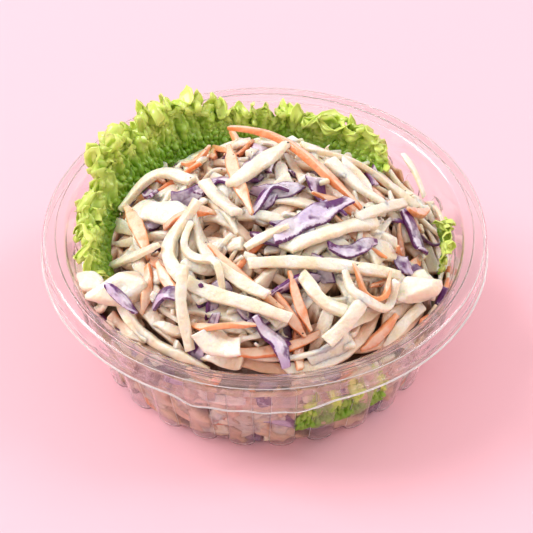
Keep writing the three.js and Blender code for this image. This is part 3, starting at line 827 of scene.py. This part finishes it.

# Shreds laid one by one over the rest, in this order: kind, width, thickness and the plan's points. Bends
# other than 2 come next, and then how far the two ends are lifted off the pile.
PLACED_SHREDS = [
    (white, 9.0, 1.6, [(-44, 5), (-35, -4), (-26, -9)]),
    (carrot, 3.0, 2.0, [(-43, 24), (-33, 17)], 2, (1, 0)),
    (carrot, 3.4, 2.0, [(-28, 20), (-18, 16)]),
    (carrot, 4.6, 2.2, [(-33, -12), (-25, -14), (-16, -14)]),
    (red, 3.8, 1.4, [(-41, 17), (-37, 3)]),
    (red, 4.4, 1.4, [(-22, -3), (-16, 2), (-9, -3)], 3),
    (red, 4.0, 1.4, [(-7, 6), (2, 11)]),
    (red, 3.0, 1.4, [(-4, -16), (2, -5), (8, -6)], 3),
    (red, 2.6, 1.4, [(2, -19), (13, -18)]),
    (white, 4.8, 2.4, [(-20, 0), (-9, -19)]),
    (white, 4.2, 2.4, [(-49, 14), (-36, 17), (-24, 4)], 3, (2, 0)),
    (carrot, 4.8, 2.4, [(-47, 9), (-42, -8), (-38, -22)], 2, (1, 0)),
    (carrot, 4.4, 2.2, [(-12, 18), (-10, 1), (-4, -18)]),
    (white, 3.6, 2.2, [(13, 19), (33, 22), (52, 16)]),
    (white, 5.6, 2.0, [(22, 12), (32, 5), (41, 1)]),
    (carrot, 4.2, 2.6, [(-12, 34), (5, 20), (20, 4), (32, -7)], 2, (4, 0)),
    (red, 7.4, 1.6, [(3, -27), (15, -17), (28, -7)], 1),
    (red, 5.0, 1.6, [(21, -28), (29, -26), (37, -19)], 3),
    (white, 3.0, 2.0, [(-6, -29), (8, -24)]),
    (white, 5.6, 2.4, [(7, -30), (22, -22), (37, -9)]),
    (white, 3.6, 2.2, [(31, -13), (47, 8)]),
    (red, 5.6, 1.5, [(47, 4), (51, -4), (53, -12)], 3),
    (carrot, 3.6, 2.2, [(56, 15), (48, 1)], 2, (2, 0)),
    (white, 2.2, 1.2, [(55, 22), (52, 29), (48, 36)], 2, (5, 13)),
    (white, 3.0, 2.0, [(-54, -8), (-35, -26)]),
    (carrot, 4.0, 2.2, [(-35, -29), (-28, -43)]),
    (red, 4.4, 1.5, [(-36, -40), (-27, -44)]),
    (red, 3.8, 1.5, [(-52, -34), (-42, -42)]),
    (carrot, 3.6, 2.2, [(-18, -28), (-8, -37), (6, -48)]),
    (white, 4.2, 2.4, [(-16, -35), (1, -46)]),
    (white, 2.8, 2.0, [(-24, -19), (-26, -27), (-17, -34), (-13, -43)], 4),
    (white, 4.8, 2.8, [(-22, -14), (-31, -23), (-29, -33), (-19, -42), (-1, -49), (8, -51)], 4, (-2, 0)),
    (white, 8.5, 1.6, [(-38, -51), (-24, -55)]),
    (white, 9.0, 1.6, [(-20, -54), (-8, -60)]),
    (white, 8.0, 1.5, [(-5, -56), (-2, -63)]),
    (red, 5.0, 1.6, [(-3, -52), (4, -56), (7, -62)], 3),
    (red, 6.5, 2.4, [(-27, -58), (-21, -55)], 2, (1, 1)),
    (carrot, 2.8, 1.8, [(14, -55), (12, -60), (12, -64)]),
    (white, 3.8, 2.2, [(15, -51), (16, -57), (19, -63)]),
    (red, 4.6, 1.6, [(17, -56), (28, -57)]),
    (carrot, 3.4, 2.0, [(-24, -49), (-18, -53), (-3, -54)], 3),
    (white, 3.8, 2.2, [(-26, -37), (-27, -46), (-24, -56)]),
    (white, 4.4, 2.4, [(12, -37), (19, -45), (30, -46)], 3),
    (carrot, 3.2, 2.0, [(8, -37), (11, -45), (15, -52)]),
    (white, 4.2, 2.6, [(-5, -35), (22, -33), (44, -29)]),
    (white, 4.8, 2.4, [(33, -41), (28, -49), (20, -55)], 3),
    (white, 7.5, 1.6, [(26, -60), (32, -49)]),
    (white, 9.5, 1.6, [(36, -51), (44, -39)]),
    (white, 5.4, 2.0, [(38, -53), (49, -39)]),
    (red, 3.4, 1.5, [(50, -40), (56, -31)]),
    (white, 3.2, 1.8, [(26, -35), (29, -42), (38, -42), (43, -34)], 4),
    (carrot, 2.6, 1.8, [(29, -33), (33, -39), (39, -38), (41, -31)], 4),
    (white, 5.4, 2.6, [(-11, -6), (-2, 5), (7, 16)], 1, (-0.5, -0.5)),
]


def lay_salad():
    """The heap in layers: all kinds mixed, then the pieces that are placed one by one."""
    for _ in range(10):
        for strips in LAYER:
            scatter(*strips)
    for piece in CHUNKS:
        lay_chunk(*piece)
    for shred in PLACED_SHREDS:
        lay_by_hand(*shred)


def map_blur(values, width):
    """The whole map smoothed by a Gaussian `width` millimetres wide, one axis after the other."""
    reach = int(width / CELL * 3)
    k = np.exp(-0.5 * (np.arange(-reach, reach + 1) * CELL / width) ** 2)
    k /= k.sum()
    for side in (0, 1):
        padded = np.pad(values, [(reach, reach) if n == side else (0, 0) for n in (0, 1)], mode="edge")
        values = sum(w * np.take(padded, np.arange(len(axis)) + n, axis=side) for n, w in enumerate(k))
    return values


def lowest(values, reach):
    """The lowest value within `reach` cells, along one axis after the other."""
    for side in (0, 1):
        values = np.minimum.reduce([np.roll(values, n, axis=side) for n in range(-reach, reach + 1)])
    return values


def dressing_surface():
    """Heights of the dressing's top over the map: hollows, which are the lowest of the pile near each
    cell, blurred and lowered so that the top shreds stand out, and in patches a web between the shreds,
    which is a little under the blurred pile."""
    hollow_drop, web_drop = 2.0, 0.3
    hollow = np.minimum(map_blur(lowest(pile, 3), 0.7) - hollow_drop, pile + 0.2)
    web = np.minimum(map_blur(pile, 1.3) - web_drop, pile + 0.15)
    patches = smooth(-0.25, 0.3, waves(7, (map_x, map_y), [(12, 0.6), (6, 0.5)]))
    return mix(hollow, np.maximum(hollow, web), patches * (1 - smooth(0.8, 0.95, map_share)))


def dressing_piece():
    """Dressing and what is buried under the shreds: the dressing's surface, closed by a side that
    reaches just into the bowl's wall and by a flat foot. Grid rows run from the foot up the side and in
    over the top, and the side pulls back from the wall where the noise `relief` is high."""
    columns, top_rings, side_rings = 370, 200, 60
    into_wall, foot_depth = 0.06, 0.6
    surface = dressing_surface()
    # How far the dressing's top lies under the blurred pile, from 0 to 1; it sets the dressing's painted
    # shade.
    sunk = np.clip((map_blur(pile, 2.5) - surface) / 6, 0, 1)
    angles = np.arange(columns) * 360 / columns
    floor_z = SHEET - 0.05
    limit = BOWL_HEIGHT + edge_level(angles)
    rim = wall_radius(limit) - SHEET / 2 + into_wall
    shares = np.linspace(1, 0, top_rings, endpoint=False)[:, None]
    top = polar(rim * shares, angles, 0)
    under = cells(top[..., 0], top[..., 1])
    height = surface[under]
    top[..., 2] = mix(np.minimum(height, limit), height, smooth(0, 3, rim * (1 - shares)))
    z = floor_z + (top[0, :, 2] - floor_z) * np.linspace(0.02, 1, side_rings)[:, None]
    relief = waves(5, (np.radians(angles) * 60, z), [(12, 0.7), (5, 0.4)])
    # The wall's formula holds above the rounding of the heel.
    level_z = np.maximum(z, 1.5)
    bulge = flute_rise(angles, level_z) * np.clip(-0.6 * relief, 0, 0.5)
    seam = into_wall - 2.6 * np.maximum(0, relief + 0.35)
    side = polar(wall_radius(level_z) - SHEET / 2 + bulge + seam, angles, z)
    foot = polar(HEEL_RADIUS - 4, angles, floor_z)
    rows = np.concatenate([foot[None], side, top[1:]])
    # Painted shade on the side and the foot: the side is darker where it pulls back from the wall, and the
    # foot has a fixed mid shade.
    side_depth = 0.45 + 0.5 * smooth(-0.6, 0.1, relief)
    depth = np.concatenate([np.full(columns, foot_depth), side_depth.ravel(), sunk[under][1:].ravel(),
                            [foot_depth, foot_depth]])
    points = np.vstack([rows.reshape(-1, 3), [[0, 0, floor_z], [0, 0, surface[cells(0, 0)]]]])
    return make_piece("dressing", "coleslaw_heap", dressing_material(), points,
                      closed_grid_faces(len(rows), columns), depth=depth)


# Shreds that show through the wall: kind, tries, and the ranges of length and width. They are tried over
# the wall's whole height, from SIDE_LOW to SIDE_HIGH.
SIDE_LOW, SIDE_HIGH = 4, 43
SIDE_SHREDS = [
    (white, 300, (8, 26), (2.2, 6.0)),
    (carrot, 35, (7, 20), (2.2, 3.6)),
    (red, 55, (6, 18), (2.8, 6.0)),
]


def side_shred(kind, length, width):
    """A shred pressed against the wall, if the salad is high enough there: a plan line on the unrolled
    wall, in degrees round it and millimetres up it, laid flat."""
    size = mix(*length, rng.uniform() ** 1.4)
    across, up = rng.uniform(-180, 180), rng.uniform(SIDE_LOW, SIDE_HIGH)
    s, z = plan(across, up, rng.normal(0, 0.9), size, rng.normal(0, 0.9), 0.3)
    z = np.clip(z, SIDE_LOW - 0.5, SIDE_HIGH)
    middle = s.mean()
    angle = middle + (s - middle) * 360 / (TAU * wall_radius(z.mean()))
    if (z >= BOWL_HEIGHT + edge_level(angle) - 1).any():
        return
    thick = rng.uniform(1.2, 2.0)
    path = polar(wall_radius(z) - SHEET / 2 - thick / 2 + 0.05, angle, z)
    rings = int(np.clip(size / 1.8, 7, 20))
    path = path[np.linspace(0, len(path) - 1, rings).astype(int)]
    along = unit(np.gradient(path, axis=0))
    side = unit(np.cross(along, unit(path * [1, 1, 0.0])))
    wide = np.full(rings, mix(*width, rng.uniform()))
    body = sweep(path, side, np.cross(side, along), wide, np.full(rings, thick), rng.uniform(), 8)
    # A random depth, which sets how much painted shade the shred takes on.
    kind.take(*body, depth=rng.uniform(-0.1, 0.9))


def side_shreds():
    for kind, tries, length, width in SIDE_SHREDS:
        for _ in range(tries):
            side_shred(kind, length, width)


# ---- lettuce ----

# Each sheet: arc, root as (radius, level), its length along the blade, the lengths over which it rises to
# that at its two ends, lean from level in degrees at its root and its edge, frill length, and seed.
LEAVES = {
    "lettuce_back": [
        ((98, 164), (52, -8), 25, (26, 8), (70, 42), 8.5, 3),
        ((101, 163), (51, -8), 20, (20, 8), (62, 24), 7, 13),
        ((40, 107), (53, -9), 15, (10, 8), (80, 48), 6.5, 23),
        ((44, 103), (52, -9), 12.5, (8, 8), (72, 28), 5.5, 33),
    ],
    "lettuce_left": [
        ((158, 199), (53, -9), 16, (8, 8), (66, 20), 6.5, 4),
        ((162, 197), (52, -9), 12, (8, 8), (58, 20), 5.5, 14),
    ],
    "lettuce_right": [((-12, 10), (60, -10), 9, (5, 5), (78, 70), 5, 5)],
    "lettuce_front": [((-80, -48), (58.6, -38), 25, (8, 8), (82, 84), 8, 6)],
}
LEAF_THICKNESS = 0.3


def sheet_normal(sheet):
    """Unit normals of a grid of points."""
    return unit(np.cross(np.gradient(sheet, axis=1), np.gradient(sheet, axis=0)))


def leaf_sheet(arc, root, tall, rise, lean, frill, seed):
    """A frilly leaf. Each line from root to edge is integrated from its direction: the lean, plus a curl
    that grows from the middle of the blade and swings forward and back with noise along the edge, coarse
    and fine. The edge also slips sideways, so that it doubles back on itself, and its length is toothed
    by noise. Both faces share one grid."""
    low, high = arc
    girth = math.radians(high - low) * (root[0] + 8)
    columns, rows = int(girth / 0.33), 44
    v, u = np.meshgrid(np.linspace(0, 1, rows), np.linspace(0, 1, columns), indexing="ij")
    s = u * girth
    deep = v * tall
    coarse = 42 * waves(seed, (s, deep * 0.5), [(frill, 1.0)]) * smooth(0.1, 0.8, v)
    fine = 75 * waves(seed + 1, (s, deep * 0.6), [(frill * 0.36, 1.0)]) * smooth(0.5, 1, v)
    crinkle = 20 * waves(seed + 2, (s, deep), [(frill * 0.55, 0.7), (frill * 0.25, 0.5)])
    upward = mix(lean[0], lean[1], v) + coarse + fine + crinkle
    upward = np.radians(np.clip(upward, -75, 190))
    ends = np.clip(s / rise[0], 0, 1) ** 0.6 * np.clip((girth - s) / rise[1], 0, 1) ** 0.6
    teeth = 0.36 * waves(seed + 3, (s,), [(2.2, 0.7), (4.5, 0.5)]) + 0.14 * waves(seed + 4, (s,), [(15, 1.0)])
    step = tall / (rows - 1) * mix(0.4, 1, ends) * (1 + teeth * smooth(0.3, 1, v))
    r = root[0] + np.cumsum(step * np.cos(upward), axis=0)
    z = BOWL_HEIGHT + root[1] + np.cumsum(step * np.sin(upward), axis=0)
    slip = (2.6 * waves(seed + 6, (s, deep * 0.5), [(frill * 0.9, 1.0)])
            + 1.1 * waves(seed + 7, (s, deep), [(frill * 0.4, 1.0)])) * smooth(0.35, 1, v)
    sheet = polar(r, low + (high - low) * u + np.degrees(slip / r), z)
    blisters = 0.9 * waves(seed + 8, (s, deep), [(6, 0.6), (3, 0.5), (1.8, 0.3)])
    blisters = blisters * smooth(0, 0.12, v) * (1 - 0.5 * v)
    edge_curls = 0.8 * waves(seed + 9, (s,), [(3.2, 0.8), (1.9, 0.4)]) * smooth(0.7, 1, v)
    sheet = sheet + sheet_normal(sheet) * (blisters + edge_curls)[..., None]
    offset = sheet_normal(sheet) * (LEAF_THICKNESS / 2)
    rings = np.concatenate([sheet + offset, (sheet - offset)[:, ::-1]], axis=1)
    marks = np.stack([s, v, 0 * u], axis=-1)
    marks = np.concatenate([marks, marks[:, ::-1]], axis=1)
    around = columns * 2
    j = np.arange(columns - 1)
    mate = around - 1 - j
    root_edge = np.stack([j + 1, j, mate, mate - 1], axis=-1)
    frilled_edge = (rows - 1) * around + np.stack([j, j + 1, mate - 1, mate], axis=-1)
    return rings.reshape(-1, 3), [grid_faces(rows, around), root_edge, frilled_edge], marks.reshape(-1, 3)


def leaf_piece(name, material):
    leaf = Gathering(name + "_leaf")
    for sheet in LEAVES[name]:
        leaf.take(*leaf_sheet(*sheet))
    return leaf.piece("lettuce_leaf", name, material)


# ---- pepper ----


def pepper_piece():
    """Cracked pepper: small irregular octahedra half sunk in what they lie on."""
    flakes = Gathering("pepper_specks")
    shape = np.array([[1, 0, 0], [-1, 0, 0], [0, 1, 0], [0, -1, 0], [0, 0, 1], [0, 0, -1]], float)
    faces = np.array([[0, 2, 4], [2, 1, 4], [1, 3, 4], [3, 0, 4], [2, 0, 5], [1, 2, 5], [3, 1, 5], [0, 3, 5]])
    specks = 120
    for _ in range(specks):
        angle = rng.uniform(-180, 180)
        radius = math.sqrt(rng.uniform()) * (edge_radius(angle) - 3)
        at = polar(radius, angle, 0)
        at[2] = pile[cells(at[0], at[1])]
        size = rng.uniform(0.25, 0.6) * rng.uniform(0.6, 1.2, (6, 1)) * [1, 1, 0.6]
        flakes.take(shape * size + at, [faces])
    return flakes.piece("dressed_salad", "coleslaw_heap", pepper_material())


# ---- stage, camera and light ----


def floor():
    """A plain pale card, 6 m across, which fills the view from a hair under the bowl's foot."""
    half = 3
    corners = [(-half, -half, -0.0002), (half, -half, -0.0002), (half, half, -0.0002), (-half, half, -0.0002)]
    mesh = bpy.data.meshes.new("floor")
    mesh.from_pydata(corners, [], [(0, 1, 2, 3)])
    material, tree = new_material("matt_pale_card")
    surface = add(tree, "BsdfPrincipled", {"Base Color": colour("#F8BFCE"), "Roughness": 0.8})
    add(tree, "OutputMaterial", {"Surface": surface})
    mesh.materials.append(material)
    new_object("floor", mesh)


def camera():
    """A long lens, 900 mm from the middle of the rim and 43 degrees above it, aimed a little low."""
    distance, elevation = 900, math.radians(43.1)
    lowered, sideways = math.radians(0.82), math.radians(-0.055)
    rim_middle = Vector((0, 0, BOWL_HEIGHT)) * MM
    back = Vector((0, -math.cos(elevation), math.sin(elevation)))
    data = bpy.data.cameras.new("camera")
    data.lens, data.sensor_width = 180.3, 36
    data.clip_start, data.clip_end = 0.05, 20
    made = new_object("camera", data)
    made.location = rim_middle + back * distance * MM
    made.rotation_euler = (math.pi / 2 - elevation - lowered, 0, sideways)
    bpy.context.scene.camera = made


def soft_light(name, place, size, power):
    """A square white softbox that faces the bowl: its place and size in metres and its power in watts."""
    data = bpy.data.lights.new(name, "AREA")
    data.shape, data.size, data.energy = "SQUARE", size, power
    made = new_object(name, data)
    made.location = place
    made.rotation_euler = (Vector((0, 0, 0.03)) - Vector(place)).to_track_quat("-Z", "Y").to_euler()


def light():
    """A nearly even pale studio, a little warmer and darker low down and towards the viewer, with one
    broad softbox at the left and a weaker one at the right, both high and a little behind the bowl."""
    world = bpy.data.worlds.new("studio")
    world.use_nodes = True
    tree = world.node_tree
    toward = add(tree, "TexCoord").outputs["Generated"]
    height = add(tree, "VectorMath", {0: toward, 1: (-0.2, 0.5, 0.84)}, operation="DOT_PRODUCT")
    height = height.outputs["Value"]
    share = add(tree, "MapRange", {0: height, 1: -0.1, 2: 0.8}, interpolation_type="SMOOTHSTEP")
    tone = add(tree, "Mix", {0: share, 6: colour("#F5E3DA"), 7: colour("#FFFBF6")}, data_type="RGBA")
    tree.links.new(tone.outputs[2], tree.nodes["Background"].inputs["Color"])
    tree.nodes["Background"].inputs["Strength"].default_value = 0.87
    bpy.context.scene.world = world
    soft_light("key", (-1.6, 0.5, 1.6), 1.0, 35)
    soft_light("right", (1.5, 0.5, 1.7), 0.75, 14)
    bpy.context.scene.view_settings.view_transform = "Standard"


bowl_piece()
painted_highlight_lines()
lay_salad()
dressing_piece()
side_shreds()
white.piece("dressed_salad", "coleslaw_heap", dressed("dressed_white_cabbage", WHITE))
carrot.piece("dressed_salad", "coleslaw_heap", dressed("dressed_carrot", CARROT))
red.piece("dressed_salad", "coleslaw_heap", dressed("dressed_red_cabbage", RED))
pepper_piece()
leaf_green = lettuce_material()
for leaf_name in LEAVES:
    leaf_piece(leaf_name, leaf_green)
floor()
camera()
light()
